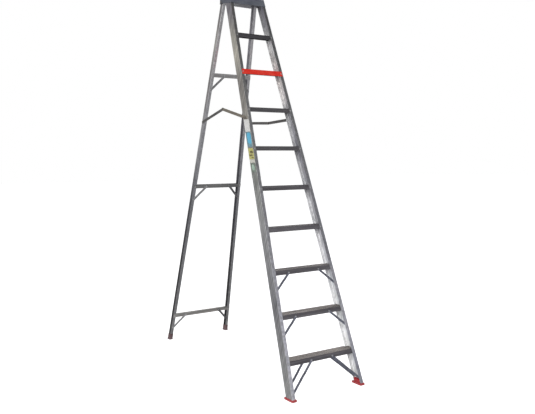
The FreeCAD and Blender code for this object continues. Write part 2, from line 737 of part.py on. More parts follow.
def crossbar(z):
    """Channel open to the rear; its face laps both rails and its legs stop short of them.

    The edge between the face and the upper leg is well rounded.
    """
    half = CROSSBAR_HEIGHT / 2
    leg_tip = CROSSBAR_LEG - CROSSBAR_T
    base = Vector(0, REAR.y(0, z), z)
    section = [
        (-CROSSBAR_T, -half, CROSSBAR_FOOT_R),
        (leg_tip, -half, CROSSBAR_TIP_R),
        (leg_tip, -half + CROSSBAR_T, CROSSBAR_TIP_R),
        (0, -half + CROSSBAR_T, 0),
        (0, half - CROSSBAR_T, CROSSBAR_TOP_R - CROSSBAR_T),
        (leg_tip, half - CROSSBAR_T, CROSSBAR_TIP_R),
        (leg_tip, half, CROSSBAR_TIP_R),
        (-CROSSBAR_T, half, CROSSBAR_TOP_R),
    ]
    corners = [base + REAR.rearward() * behind + REAR.upward() * up for behind, up, radius in section]
    face = rounded_face(corners, [radius for behind, up, radius in section])
    low_z = z - CROSSBAR_HEIGHT
    high_z = z + CROSSBAR_HEIGHT
    face.translate(Vector(-REACH / 2, 0, 0))
    shape = face.extrude(Vector(REACH, 0, 0)).common(REAR.between_sides(0, low_z, high_z))
    trim = RAIL_FLANGE + CROSSBAR_LEG_GAP
    notch = [(-CUT_MARGIN, 0), (trim, 0), (trim, RAIL_DEPTH), (-CUT_MARGIN, RAIL_DEPTH)]
    for side in SIDES.values():
        shape = shape.cut(REAR.prism(side, notch, [0] * 4, low_z, high_z))
    return drilled(shape, REAR_RIVETS)


# ---- top cap and hinge ---------------------------------------------------------------------
def cap_block(grow, z_low, z_high, rear_y):
    """Tapering block around the stile tops, `grow` larger than they are at the front and sides."""
    wires = []
    for z in (z_low, z_high):
        half = FRONT.half(z) + grow
        front = FRONT.y(-grow, z)
        corners = [
            Vector(-half, front, z),
            Vector(half, front, z),
            Vector(half, rear_y, z),
            Vector(-half, rear_y, z),
        ]
        wires.append(Part.makePolygon(corners + corners[:1]))
    return Part.makeLoft(wires, True, True)


def top_cap():
    """Rounded cap with a deep front skirt, shallower sides and a short rear wall."""
    outer = cap_block(CAP_WALL + CAP_GAP, CAP_FRONT_EDGE_Z, CAP_TOP_Z, CAP_REAR_Y)
    tall = CAP_TOP_Z - CAP_FRONT_EDGE_Z - 1
    uprights = [edge for edge in outer.Edges if edge.BoundBox.ZLength > tall]
    outer = outer.makeFillet(CAP_CORNER_R, uprights)
    rim = [edge for edge in outer.Edges if edge.BoundBox.ZMin > CAP_TOP_Z - 0.5]
    outer = outer.makeFillet(CAP_RIM_R, rim)
    inner = cap_block(CAP_GAP, CAP_FRONT_EDGE_Z - CUT_MARGIN, CAP_TOP_Z - CAP_TOP_T, CAP_REAR_Y - CAP_WALL)
    shape = outer.cut(inner)
    below = CAP_FRONT_EDGE_Z - CUT_MARGIN
    beyond = CAP_REAR_Y + CUT_MARGIN
    rise_from, rise_to = CAP_SIDE_RISE_Y
    edge_line = [
        Vector(0, rise_from, below),
        Vector(0, rise_from, CAP_FRONT_EDGE_Z),
        Vector(0, rise_to, CAP_REAR_EDGE_Z),
        Vector(0, beyond, CAP_REAR_EDGE_Z),
        Vector(0, beyond, below),
    ]
    face = rounded_face(edge_line, [0, 0, CAP_SIDE_CURVE_R, 0, 0])
    face.translate(Vector(-REACH / 2, 0, 0))
    shape = shape.cut(face.extrude(Vector(REACH, 0, 0)))
    shape = drilled(shape, CAP_RIVETS)
    return shape.cut(cylinder_x(PIVOT_HOLE_R, -REACH / 2, REACH / 2, HINGE_Y, HINGE_Z))


def hexagon_x(across_flats, x_from, x_to, y, z):
    corners = []
    for index in range(6):
        angle = math.radians(30 + 60 * index)
        radius = across_flats / math.sqrt(3)
        corners.append(Vector(x_from, y + radius * math.cos(angle), z + radius * math.sin(angle)))
    return rounded_face(corners, [HINGE_HEX_EDGE_R] * 6).extrude(Vector(x_to - x_from, 0, 0))


def hinge_hardware(cap):
    """Bolt, spacer and nut of each side; each slanted seat is cut to the face of the cap."""
    bolts = []
    spacers = []
    nuts = []
    rail_outer = REAR.half(HINGE_Z)
    skirt_outer = FRONT.half(HINGE_Z) + CAP_GAP + CAP_WALL
    seat_from = skirt_outer - SEAT_OVERLAP
    washer_to = skirt_outer + HINGE_WASHER_T
    nut_from = rail_outer - RAIL_T - 2 * HINGE_RUNNING_GAP
    nut_to = nut_from - HINGE_NUT_T
    spacer_from = rail_outer + HINGE_SPACER_R * REAR_TAPER + HINGE_RUNNING_GAP
    bolt_end = nut_to - HINGE_BOLT_PROUD
    for side in SIDES.values():
        shank = cylinder_x(HINGE_BOLT_R, side * bolt_end, side * washer_to, HINGE_Y, HINGE_Z)
        washer = cylinder_x(HINGE_WASHER_R, side * seat_from, side * washer_to, HINGE_Y, HINGE_Z)
        head_to = washer_to + HINGE_HEAD_T
        head = hexagon_x(HINGE_HEX_FLATS, side * washer_to, side * head_to, HINGE_Y, HINGE_Z)
        seats = washer.fuse(head).cut(cap)
        outside = max(seats.Solids, key=lambda solid: solid.Volume)
        bolts.append(shank.fuse(outside).removeSplitter())
        tube = cylinder_x(HINGE_SPACER_R, side * spacer_from, side * seat_from, HINGE_Y, HINGE_Z)
        bore = cylinder_x(PIVOT_HOLE_R, 0, side * REACH, HINGE_Y, HINGE_Z)
        spacers.append(tube.cut(cap).cut(bore))
        nut = hexagon_x(HINGE_HEX_FLATS, side * nut_to, side * nut_from, HINGE_Y, HINGE_Z)
        nuts.append(nut.cut(bore))
    return bolts, spacers, nuts


# ---- spreaders -----------------------------------------------------------------------------
def knee_point(length, raised):
    """Where two equal bars meet, above or below the line joining the two pivots."""
    start = Vector(0, *FRONT_PIVOT)
    end = Vector(0, *REAR_PIVOT)
    line = end - start
    rise = math.sqrt(length ** 2 - (line.Length / 2) ** 2)
    square = Vector(0, -line.z, line.y).normalize()
    return start + line * 0.5 + square * (rise if raised else -rise)


def spreader_bar(side, start, end, inner_x, start_hole, end_hole):
    """Flat bar in a plane square to X, round at both ends, with a raised stiffening rib."""
    inner = side * inner_x
    begin = Vector(inner, start.y, start.z)
    finish = Vector(inner, end.y, end.z)
    outward = Vector(side, 0, 0)
    bar = strip(begin, finish, outward, BAR_WIDTH, BAR_T, 0, 0)
    along = (finish - begin).normalize()
    rib_from = begin + along * BAR_RIB_MARGIN
    rib_to = finish - along * BAR_RIB_MARGIN
    rib = strip(rib_from, rib_to, outward, BAR_RIB_WIDTH, BAR_RIB_HEIGHT, BAR_T, BAR_T)
    shape = bar.fuse(rib)
    for point, radius in ((begin, start_hole), (finish, end_hole)):
        shape = shape.cut(drill_x(radius, inner, point.y, point.z))
    return shape.removeSplitter()


def front_pivot(side, stile_shape):
    """Fixed pivot: tail inside the web, bush outside it, shank through the bar and a flat head."""
    y, z = FRONT_PIVOT
    face = FRONT.half(z)
    bush_end = FRONT_BAR_X - PIVOT_SIDE_GAP
    head_from = FRONT_BAR_X + BAR_T + PIVOT_SIDE_GAP
    tail_from = face - STILE_WEB_T - PIVOT_TAIL_T
    collars = cylinder_x(PIVOT_BUSH_R, side * (face - STILE_WEB_T / 2), side * bush_end, y, z)
    tail = cylinder_x(PIVOT_HEAD_R, side * tail_from, side * (face - STILE_WEB_T / 2), y, z)
    shank = cylinder_x(PIVOT_R, side * tail_from, side * head_from, y, z)
    head = cylinder_x(PIVOT_HEAD_R, side * head_from, side * (head_from + PIVOT_HEAD_T), y, z)
    seats = collars.fuse(tail).cut(stile_shape)
    return shank.fuse([head] + seats.Solids).removeSplitter()


def rear_bush(side, rail_shape):
    """Boss riveted to the rail: the rear end of a spreader bar turns against its face."""
    y, z = REAR_PIVOT
    face = REAR.half(z)
    tail_from = face - RAIL_T - PIVOT_TAIL_T
    boss = cylinder_x(PIVOT_BUSH_R, side * (face - RAIL_T / 2), side * BUSH_END_X, y, z)
    tail = cylinder_x(PIVOT_HEAD_R, side * tail_from, side * (face - RAIL_T / 2), y, z)
    shank = cylinder_x(PIVOT_R, side * tail_from, side * BUSH_END_X, y, z)
    seats = boss.fuse(tail).cut(rail_shape)
    return shank.fuse(seats.Solids).removeSplitter()


def centre_pin(side, knee):
    """Rides on the front bar and passes through the rear bar."""
    outer_face = FRONT_BAR_X + BAR_T
    inner_face = REAR_BAR_X - PIVOT_SIDE_GAP
    shank = cylinder_x(PIVOT_R, side * inner_face, side * outer_face, knee.y, knee.z)
    head = cylinder_x(PIVOT_HEAD_R, side * outer_face, side * (outer_face + PIVOT_HEAD_T), knee.y, knee.z)
    washer_from = REAR_BAR_X + BAR_T + PIVOT_SIDE_GAP
    washer = cylinder_x(PIVOT_HEAD_R, side * washer_from, side * FRONT_BAR_X, knee.y, knee.z)
    tail = cylinder_x(PIN_TAIL_R, side * (inner_face - PIN_TAIL_T), side * inner_face, knee.y, knee.z)
    return shank.fuse([head, washer, tail]).removeSplitter()


def rear_pivot_rivet(side):
    """Rides on the rear bar, its end level with the bar's inner face."""
    y, z = REAR_PIVOT
    outer_face = REAR_BAR_X + BAR_T
    shank = cylinder_x(PIVOT_R, side * REAR_BAR_X, side * outer_face, y, z)
    head = cylinder_x(PIVOT_HEAD_R, side * outer_face, side * (outer_face + PIVOT_HEAD_T), y, z)
    return shank.fuse(head).removeSplitter()


# ---- write every piece ---------------------------------------------------------------------
def write_front_section():
    pivots = []
    for label, side in SIDES.items():
        shape = stile(side)
        save("front_stile_" + label, shape)
        save("front_foot_" + label, front_foot(side))
        pivots.append(front_pivot(side, shape))
    save("spreader_front_pivots", Part.makeCompound(pivots))
    for number in range(1, TREAD_COUNT + 1):
        save("tread_%d" % number, tread(number))
    save("red_tread_cover", red_cover())
    for name, face, top, foot in front_brace_ends():
        save(name, front_brace(face, top, foot))
    save_rivets("tread_rivets", TREAD_RIVETS)
    save_rivets("front_brace_rivets", FRONT_BRACE_RIVETS)
    save_rivets("front_foot_rivets", FRONT_FOOT_RIVETS)
    save_rivets("cap_rivets", CAP_RIVETS)


def write_cap_and_hinge():
    cap = top_cap()
    bolts, spacers, nuts = hinge_hardware(cap)
    save("top_cap", cap)
    save("hinge_bolts", Part.makeCompound(bolts))
    save("hinge_spacers", Part.makeCompound(spacers))
    save("hinge_nuts", Part.makeCompound(nuts))


def write_rear_section():
    bushes = []
    for label, side in SIDES.items():
        shape = rail(side)
        save("rear_rail_" + label, shape)
        save("rear_foot_" + label, rear_foot(side))
        bushes.append(rear_bush(side, shape))
    save("spreader_rear_bushes", Part.makeCompound(bushes))
    for place, z in CROSSBAR_Z.items():
        save("rear_crossbar_" + place, crossbar(z))
    for name, top, foot in rear_brace_ends():
        save(name, rear_brace(top, foot))
    save_rivets("rear_rivets", REAR_RIVETS)


def write_spreaders():
    front = Vector(0, *FRONT_PIVOT)
    rear = Vector(0, *REAR_PIVOT)
    loose = PIVOT_R + PIVOT_RUNNING_GAP
    for label, length, raised in (("left", LEFT_BAR, True), ("right", RIGHT_BAR, False)):
        side = SIDES[label]
        knee = knee_point(length, raised)
        name = "spreader_" + label
        save(name + "_front_bar", spreader_bar(side, front, knee, FRONT_BAR_X, loose, PIVOT_HOLE_R))
        save(name + "_rear_bar", spreader_bar(side, knee, rear, REAR_BAR_X, loose, PIVOT_HOLE_R))
        save(name + "_centre_pin", centre_pin(side, knee))
        save(name + "_rear_pivot", rear_pivot_rivet(side))


write_front_section()
write_cap_and_hinge()
write_rear_section()
write_spreaders()
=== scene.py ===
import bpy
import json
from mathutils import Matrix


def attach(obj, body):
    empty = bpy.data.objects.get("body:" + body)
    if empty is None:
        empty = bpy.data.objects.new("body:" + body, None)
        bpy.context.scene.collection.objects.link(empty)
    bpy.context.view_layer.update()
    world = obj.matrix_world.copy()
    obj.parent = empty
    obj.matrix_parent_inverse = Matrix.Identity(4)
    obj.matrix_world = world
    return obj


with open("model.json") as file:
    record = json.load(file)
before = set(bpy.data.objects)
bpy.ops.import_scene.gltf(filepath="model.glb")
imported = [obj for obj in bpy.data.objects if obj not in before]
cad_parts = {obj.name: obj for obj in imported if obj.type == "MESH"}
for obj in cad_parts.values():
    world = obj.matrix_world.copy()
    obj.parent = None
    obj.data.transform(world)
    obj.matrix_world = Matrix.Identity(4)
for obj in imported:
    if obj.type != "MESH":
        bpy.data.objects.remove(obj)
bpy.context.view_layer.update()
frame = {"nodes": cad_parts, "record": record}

import json
import math

import bmesh
import bpy
from mathutils import Matrix, Vector

NODES = frame["nodes"]

# ---- camera: metres and degrees in the ladder's own frame -----------------------------------
CAMERA_PLACE = Vector((-2.7258, -4.4246, 1.5522))
CAMERA_AZIMUTH = math.radians(33.0724)
CAMERA_PITCH = math.radians(-3.6842)
CAMERA_ROLL = math.radians(-0.7409)
CAMERA_LENS = 44.40
CAMERA_SENSOR = 36.0

# ---- the lean and taper of the two frames ---------------------------------------------------
FRONT_LEAN = math.radians(19.33)
FRONT_FACE_Y = -0.980
FRONT_HALF_WIDTH = 0.3075
FRONT_TAPER = 0.0538
STILE_DEPTH = 0.070
REAR_LEAN = math.radians(-16.3)
REAR_FACE_Y = 0.980
RAIL_DEPTH = 0.040

# ---- stickers on the outer face of the left stile -------------------------------------------
STICKER_THICKNESS = 0.0004
STICKER_MARGIN = 0.003
STICKER_CORNER_R = 0.0035
PRINT_THICKNESS = 0.0002
SHEET_EDGE = 0.6                      # width of a sheet's softened edge, in thicknesses
SHEET_EDGE_DROP = 0.4                 # how far that edge falls, as a fraction of its width
# Each is (name, upper edge, lower edge) as heights above the floor.
STICKERS = (
    ("white", 1.883, 1.792),
    ("teal", 1.790, 1.682),
    ("yellow", 1.671, 1.592),
    ("pale", 1.590, 1.567),
    ("moss", 1.564, 1.498),
)
# Each is (name, colour, upper edge, lower edge, front edge, rear edge, corner radius); the last
# three are measured square to the stile's front face.
PRINTED_SHAPES = (
    ("blue", "blue", 1.784, 1.703, 0.007, 0.053, 0.018),
    ("green", "green", 1.555, 1.511, 0.018, 0.052, 0.0168),
    ("mark_upper", "dark", 1.652, 1.634, 0.010, 0.046, 0.0015),
    ("mark_middle", "dark", 1.626, 1.614, 0.022, 0.060, 0.0015),
    ("mark_lower", "dark", 1.606, 1.599, 0.010, 0.038, 0.0015),
)

# ---- studio walls: (degrees above the horizon, colour) ----------------------------------------
WALLS = (
    (-90, (0.62, 0.62, 0.65)),
    (-21, (0.62, 0.62, 0.65)),
    (-12, (0.30, 0.30, 0.32)),
    (-4, (0.22, 0.22, 0.23)),
    (4, (0.26, 0.26, 0.27)),
    (13, (0.50, 0.49, 0.49)),
    (33, (0.45, 0.45, 0.46)),
    (90, (0.40, 0.40, 0.41)),
)
DARK_WALL = (
    (-90, (0.40, 0.40, 0.41)),
    (-30, (0.38, 0.38, 0.39)),
    (-10, (0.16, 0.16, 0.17)),
    (6, (0.20, 0.20, 0.21)),
    (13, (0.85, 0.85, 0.92)),
    (19, (0.55, 0.55, 0.60)),
    (28, (0.22, 0.22, 0.23)),
    (40, (0.06, 0.06, 0.065)),
    (90, (0.15, 0.15, 0.16)),
)
DARK_WALL_TOWARD = (0.545, -0.838, 0.0)   # the way the darker wall lies
FLOOR_REACH = 60.0
FLOOR_GLOW = 0.8
LIGHT_TARGET = Vector((0.0, 0.0, 1.2))


# ---- how the metal is drawn: the rotation that turns each extrusion's direction onto Z --------
FRONT_ALONG = (-FRONT_LEAN, 0.0, 0.0)
REAR_ALONG = (-REAR_LEAN, 0.0, 0.0)
TREAD_ALONG = (0.0, math.radians(90), 0.0)
SPREADER_ALONG = (math.radians(90), 0.0, 0.0)

# ---- painted light, shade and reflection: (height above the floor, colour that multiplies the metal's own) ---
SHADE_TOP = 2.85                      # height at the end of every list's scale
STILE_FRONT = (
    (0.2, (1.14, 1.14, 1.20)), (0.6, (0.98, 0.98, 1.04)), (1.2, (0.76, 0.76, 0.79)),
    (2.0, (0.82, 0.82, 0.81)), (2.5, (0.58, 0.57, 0.55)))
STILE_FRONT_RIGHT = (
    (0.15, (0.66, 0.68, 0.75)), (0.45, (1.05, 1.05, 1.10)), (0.6, (0.82, 0.83, 0.87)),
    (0.8, (0.74, 0.74, 0.78)), (1.0, (0.54, 0.54, 0.57)), (1.3, (0.68, 0.68, 0.71)),
    (2.0, (0.74, 0.74, 0.74)), (2.5, (0.54, 0.54, 0.54)))
STILE_OUTER = (
    (0.2, (0.84, 0.84, 0.83)), (0.6, (0.69, 0.69, 0.72)), (1.1, (1.22, 1.22, 1.23)),
    (1.45, (0.88, 0.91, 0.86)), (1.93, (0.92, 0.89, 0.82)), (2.2, (0.78, 0.74, 0.70)),
    (2.35, (1.26, 1.21, 1.07)), (2.5, (1.10, 1.07, 0.96)), (2.6, (0.76, 0.74, 0.70)),
    (2.72, (0.58, 0.56, 0.61)))
# painted reflection and shade on the stiles' channel insides: near-white low down, darker bands higher up
STILE_INNER = (
    (0.3, (1.40, 1.41, 1.43)), (0.6, (1.36, 1.38, 1.41)), (0.75, (1.08, 1.10, 1.16)),
    (1.0, (0.83, 0.83, 0.88)), (1.3, (0.73, 0.73, 0.77)), (1.7, (0.43, 0.43, 0.49)),
    (1.95, (0.70, 0.70, 0.74)), (2.2, (1.26, 1.18, 1.18)), (2.38, (0.86, 0.86, 0.87)),
    (2.48, (1.20, 1.20, 1.22)), (2.6, (0.60, 0.60, 0.62)), (2.75, (0.52, 0.51, 0.58)))
STILE_REAR = (
    (0.2, (1.50, 1.50, 1.50)), (0.75, (1.50, 1.50, 1.52)), (1.0, (1.40, 1.40, 1.42)),
    (1.3, (1.36, 1.36, 1.38)), (1.65, (0.92, 0.92, 0.95)), (1.95, (1.15, 1.15, 1.16)),
    (2.15, (1.45, 1.40, 1.38)), (2.4, (0.86, 0.84, 0.84)), (2.5, (1.45, 1.45, 1.46)),
    (2.65, (0.60, 0.60, 0.62)))
RAIL_FRONT = (
    (0.2, (0.63, 0.62, 0.61)), (1.2, (0.62, 0.62, 0.64)), (1.7, (0.95, 0.95, 0.97)),
    (2.4, (1.50, 1.48, 1.46)))
RAIL_OUTER = (
    (0.1, (0.13, 0.12, 0.12)), (0.6, (0.16, 0.16, 0.16)), (1.2, (0.26, 0.26, 0.27)),
    (1.4, (0.64, 0.64, 0.65)), (1.8, (1.26, 1.26, 1.26)), (2.1, (0.76, 0.73, 0.72)),
    (2.3, (0.68, 0.67, 0.65)), (2.5, (1.30, 1.26, 1.16)), (2.7, (0.58, 0.56, 0.56)))
RAIL_INNER = (
    (0.2, (0.17, 0.17, 0.17)), (1.4, (0.22, 0.22, 0.24)), (1.8, (0.34, 0.33, 0.36)),
    (2.6, (0.66, 0.65, 0.68)))
CROSSBAR_SHADE = (
    (0.2, (1.0, 0.98, 0.95)), (1.375, (0.66, 0.67, 0.67)), (2.27, (1.30, 1.30, 1.30)))
# painted shade on the tread fronts
TREAD_FRONT = (
    (0.25, (0.56, 0.57, 0.62)), (1.1, (0.54, 0.55, 0.60)), (1.9, (0.44, 0.45, 0.48)),
    (2.5, (0.30, 0.31, 0.34)))
# painted light on the tread tops, strongest on the low treads
TREAD_TOP = (
    (0.25, (1.50, 1.46, 1.38)), (0.55, (1.42, 1.38, 1.32)), (0.85, (1.18, 1.16, 1.14)),
    (1.1, (0.68, 0.67, 0.68)), (1.4, (0.32, 0.32, 0.33)))

# ---- where masks fade: each pair gives the values at which the mask is 0 and 1 ----------------
FRONT_SKIN_FADE = (0.012, 0.004)      # depth behind a front face
REAR_SKIN_FADE = (0.010, 0.004)       # depth ahead of the stile's rear face
OUTER_SIDE_FADE = (0.06, 0.12)        # place times direction, both along X
TOP_FADE = (0.55, 0.8)                # upward component of the surface's direction
RIGHT_SIDE_FADE = (-0.01, 0.01)       # place along X
CAP_REAR_FADE = (0.12, 0.13)          # place along Y
FORWARD_FADE = (-0.6, -0.8)           # Y component of the surface's direction
DARK_WALL_FADE = (0.15, 0.6)          # likeness to DARK_WALL_TOWARD
CHALK_ROUGHNESS = (0.55, 0.55, 0.55)
CHALK_METALLIC = 0.35

# ---- sockets of Blender's colour mix node -----------------------------------------------------
MIX_FACTOR = 0
MIX_FIRST = 6
MIX_SECOND = 7
MIX_RESULT = 2


# ---- small helpers --------------------------------------------------------------------------
def new_material(name):
    material = bpy.data.materials.new(name)
    material.use_nodes = True
    return material, material.node_tree.nodes, material.node_tree.links


def shader_of(nodes):
    return nodes["Principled BSDF"]


def object_coordinates(nodes, links, rotation=(0, 0, 0), scale=(1, 1, 1)):
    """Coordinates fixed to the piece, turned and then stretched."""
    source = nodes.new("ShaderNodeTexCoord")
    turn = nodes.new("ShaderNodeMapping")
    turn.inputs["Rotation"].default_value = rotation
    stretch = nodes.new("ShaderNodeMapping")
    stretch.inputs["Scale"].default_value = scale
    links.new(source.outputs["Object"], turn.inputs["Vector"])
    links.new(turn.outputs["Vector"], stretch.inputs["Vector"])
    return stretch.outputs["Vector"]


def noise(nodes, links, vector, scale, detail=3.0, roughness=0.55):
    texture = nodes.new("ShaderNodeTexNoise")
    texture.inputs["Scale"].default_value = scale
    texture.inputs["Detail"].default_value = detail
    texture.inputs["Roughness"].default_value = roughness
    links.new(vector, texture.inputs["Vector"])
    return texture.outputs["Fac"]


def ramp(nodes, links, factor, stops):
    """Colour ramp from (position, colour) stops; a plain number is a grey."""
    node = nodes.new("ShaderNodeValToRGB")
    elements = node.color_ramp.elements
    while len(elements) < len(stops):
        elements.new(0.5)
    for element, (position, colour) in zip(elements, stops):
        element.position = position
        if isinstance(colour, (int, float)):
            colour = (colour, colour, colour)
        element.color = (*colour, 1.0)
    links.new(factor, node.inputs["Fac"])
    return node.outputs["Color"]


def blend(nodes, links, first, second, factor, mode="MIX"):
    """Mix of two colours; each argument is a socket or a value."""
    node = nodes.new("ShaderNodeMix")
    node.data_type = "RGBA"
    node.blend_type = mode
    for index, value in ((MIX_FACTOR, factor), (MIX_FIRST, first), (MIX_SECOND, second)):
        socket = node.inputs[index]
        if isinstance(value, bpy.types.NodeSocket):
            links.new(value, socket)
        elif index == MIX_FACTOR:
            socket.default_value = value
        else:
            socket.default_value = (*value, 1.0)
    return node.outputs[MIX_RESULT]


def bump(nodes, links, height, strength, distance, below=None):
    node = nodes.new("ShaderNodeBump")
    node.inputs["Strength"].default_value = strength
    node.inputs["Distance"].default_value = distance
    links.new(height, node.inputs["Height"])
    if below is not None:
        links.new(below, node.inputs["Normal"])
    return node.outputs["Normal"]


def axis_value(nodes, links, kind, axis):
    """One component of the place ("Object", in metres) or of the way the surface looks ("Normal")."""
    source = nodes.new("ShaderNodeTexCoord")
    split = nodes.new("ShaderNodeSeparateXYZ")
    links.new(source.outputs[kind], split.inputs["Vector"])
    return split.outputs[axis]


def map_range(nodes, links, value, low, high, to_low=0.0, to_high=1.0):
    node = nodes.new("ShaderNodeMapRange")
    node.inputs["From Min"].default_value = low
    node.inputs["From Max"].default_value = high
    node.inputs["To Min"].default_value = to_low
    node.inputs["To Max"].default_value = to_high
    links.new(value, node.inputs["Value"])
    return node.outputs["Result"]


# ---- materials ------------------------------------------------------------------------------
def height_shade(nodes, links, shades):
    """Colour that changes with height above the floor, from (height, colour) stops."""
    height = map_range(nodes, links, axis_value(nodes, links, "Object", "Z"), 0.0, SHADE_TOP)
    return ramp(nodes, links, height, [(z / SHADE_TOP, colour) for z, colour in shades])


def outer_side_mask(nodes, links):
    """1 on faces that look away from the ladder's middle, 0 elsewhere."""
    product = nodes.new("ShaderNodeMath")
    product.operation = "MULTIPLY"
    links.new(axis_value(nodes, links, "Object", "X"), product.inputs[0])
    links.new(axis_value(nodes, links, "Normal", "X"), product.inputs[1])
    return map_range(nodes, links, product.outputs[0], *OUTER_SIDE_FADE)


def depth_mask(nodes, links, lean, front_y, none_at, full_at):
    """1 at `full_at` and 0 at `none_at`, both measured square to a frame's front face."""
    source = nodes.new("ShaderNodeTexCoord")
    depth = nodes.new("ShaderNodeVectorMath")
    depth.operation = "DOT_PRODUCT"
    depth.inputs[1].default_value = (0.0, math.cos(lean), -math.sin(lean))
    links.new(source.outputs["Object"], depth.inputs[0])
    face = front_y * math.cos(lean)
    return map_range(nodes, links, depth.outputs["Value"], face + none_at, face + full_at)


def top_mask(nodes, links):
    """1 on faces that look up, 0 on upright ones."""
    return map_range(nodes, links, axis_value(nodes, links, "Normal", "Z"), *TOP_FADE)


def aluminium(name, light, dark, along, metallic=0.92, rough=(0.26, 0.42), shade=None, chalk=None):
    """Drawn aluminium: fine and broad streaks along the extrusion, cloudy oxide, scratches, dirt.

    `along` is the rotation that turns the extrusion's direction onto Z. `shade` makes a colour that
    multiplies the metal's own: painted light, shade and reflection that change with height and face.
    `chalk` makes a mask of the faces that nobody wipes: they are dull with oxide and dust.
    """
    material, nodes, links = new_material(name)
    shader = shader_of(nodes)
    streak_space = object_coordinates(nodes, links, rotation=along, scale=(1.0, 1.0, 0.02))
    streaks = noise(nodes, links, streak_space, 420.0, detail=4.0, roughness=0.6)
    fine_space = object_coordinates(nodes, links, rotation=along, scale=(1.0, 1.0, 0.006))
    fine = noise(nodes, links, fine_space, 1500.0, detail=2.0)
    cloud_space = object_coordinates(nodes, links, rotation=along, scale=(1.0, 1.0, 0.35))
    clouds = noise(nodes, links, cloud_space, 14.0, detail=5.0, roughness=0.62)
    spots = noise(nodes, links, object_coordinates(nodes, links), 95.0, detail=6.0, roughness=0.7)
    broad_space = object_coordinates(nodes, links, rotation=along, scale=(1.0, 1.0, 0.03))
    broad = noise(nodes, links, broad_space, 75.0, detail=3.0, roughness=0.5)

    streak_colour = ramp(nodes, links, streaks, ((0.30, dark), (0.72, light)))
    band = ramp(nodes, links, broad, ((0.38, (0.80, 0.80, 0.80)), (0.60, (1.10, 1.10, 1.10))))
    streak_colour = blend(nodes, links, streak_colour, band, 1.0, "MULTIPLY")
    oxide = ramp(nodes, links, clouds, ((0.32, (0.76, 0.77, 0.78)), (0.62, (1.0, 1.0, 1.0))))
    colour = blend(nodes, links, streak_colour, oxide, 0.85, "MULTIPLY")
    stain = ramp(nodes, links, spots, ((0.60, (1.0, 1.0, 1.0)), (0.74, (0.60, 0.57, 0.53))))
    colour = blend(nodes, links, colour, stain, 0.7, "MULTIPLY")
    # painted light, shade and reflection multiply the metal's colour here
    if shade is not None:
        colour = blend(nodes, links, colour, shade(nodes, links), 1.0, "MULTIPLY")
    links.new(colour, shader.inputs["Base Color"])

    shine = blend(nodes, links, ramp(nodes, links, streaks, ((0.3, rough[0]), (0.7, rough[1]))),
                  ramp(nodes, links, clouds, ((0.35, rough[1] + 0.1), (0.65, rough[0]))), 0.5)
    if chalk is None:
        links.new(shine, shader.inputs["Roughness"])
        shader.inputs["Metallic"].default_value = metallic
    else:
        mask = chalk(nodes, links)
        links.new(blend(nodes, links, shine, CHALK_ROUGHNESS, mask), shader.inputs["Roughness"])
        metal = map_range(nodes, links, mask, 0.0, 1.0, metallic, CHALK_METALLIC)
        links.new(metal, shader.inputs["Metallic"])
    shader.inputs["Anisotropic"].default_value = 0.3
    normal = bump(nodes, links, streaks, 0.25, 0.0002)
    normal = bump(nodes, links, fine, 0.15, 0.0001, normal)
    normal = bump(nodes, links, spots, 0.12, 0.0003, normal)
    links.new(normal, shader.inputs["Normal"])
    return material


def moulded_plastic(name, colour, pale, rough, dust_and_painted_light=None):
    """Moulded plastic with a fine grain, faint flow marks, scuffs and chalky fading.

    `dust_and_painted_light` is the colour of the painted light inside the cap's rear wall, which lies in
    shade, where one is wanted.
    """
    material, nodes, links = new_material(name)
    shader = shader_of(nodes)
    space = object_coordinates(nodes, links)
    clouds = noise(nodes, links, space, 22.0, detail=5.0, roughness=0.6)
    scuffs = noise(nodes, links, object_coordinates(nodes, links, scale=(0.25, 1.0, 1.0)), 160.0, 6.0, 0.72)
    grit = noise(nodes, links, space, 900.0, detail=2.0)
    base = ramp(nodes, links, clouds, ((0.35, colour), (0.75, pale)))
    scuff_mask = ramp(nodes, links, scuffs, ((0.60, 0.0), (0.76, 1.0)))
    worn = blend(nodes, links, base, pale, 0.6)
    final = blend(nodes, links, base, worn, scuff_mask)
    if dust_and_painted_light is not None:
        # painted light on the forward-facing inside of the cap's rear wall, which lies in shade
        at_rear = map_range(nodes, links, axis_value(nodes, links, "Object", "Y"), *CAP_REAR_FADE)
        forward = map_range(nodes, links, axis_value(nodes, links, "Normal", "Y"), *FORWARD_FADE)
        final = blend(nodes, links, final, blend(nodes, links, final, dust_and_painted_light, at_rear), forward)
    links.new(final, shader.inputs["Base Color"])
    gloss = blend(nodes, links, ramp(nodes, links, clouds, ((0.3, rough), (0.8, rough + 0.12))),
                  ramp(nodes, links, scuffs, ((0.5, rough), (0.8, rough + 0.25))), 0.5)
    links.new(gloss, shader.inputs["Roughness"])
    normal = bump(nodes, links, grit, 0.35, 0.0002)
    normal = bump(nodes, links, scuffs, 0.15, 0.0003, normal)
    links.new(normal, shader.inputs["Normal"])
    return material


def dusty_rubber(name, colour, dust_and_painted_light, dust_top):
    """Moulded rubber, dusty near the floor and in its grain."""
    material, nodes, links = new_material(name)
    shader = shader_of(nodes)
    space = object_coordinates(nodes, links)
    clouds = noise(nodes, links, space, 60.0, detail=5.0, roughness=0.65)
    grit = noise(nodes, links, space, 700.0, detail=3.0)
    base = ramp(nodes, links, clouds, ((0.3, tuple(0.8 * c for c in colour)), (0.7, colour)))
    low = map_range(nodes, links, axis_value(nodes, links, "Object", "Z"), 0.0, dust_top, 0.55, 0.0)
    patchy = nodes.new("ShaderNodeMath")
    patchy.operation = "MULTIPLY"
    links.new(low, patchy.inputs[0])
    links.new(clouds, patchy.inputs[1])
    final = blend(nodes, links, base, dust_and_painted_light, patchy.outputs[0])
    links.new(final, shader.inputs["Base Color"])
    links.new(ramp(nodes, links, clouds, ((0.3, 0.55), (0.7, 0.78))), shader.inputs["Roughness"])
    normal = bump(nodes, links, grit, 0.3, 0.0003)
    links.new(normal, shader.inputs["Normal"])
    return material


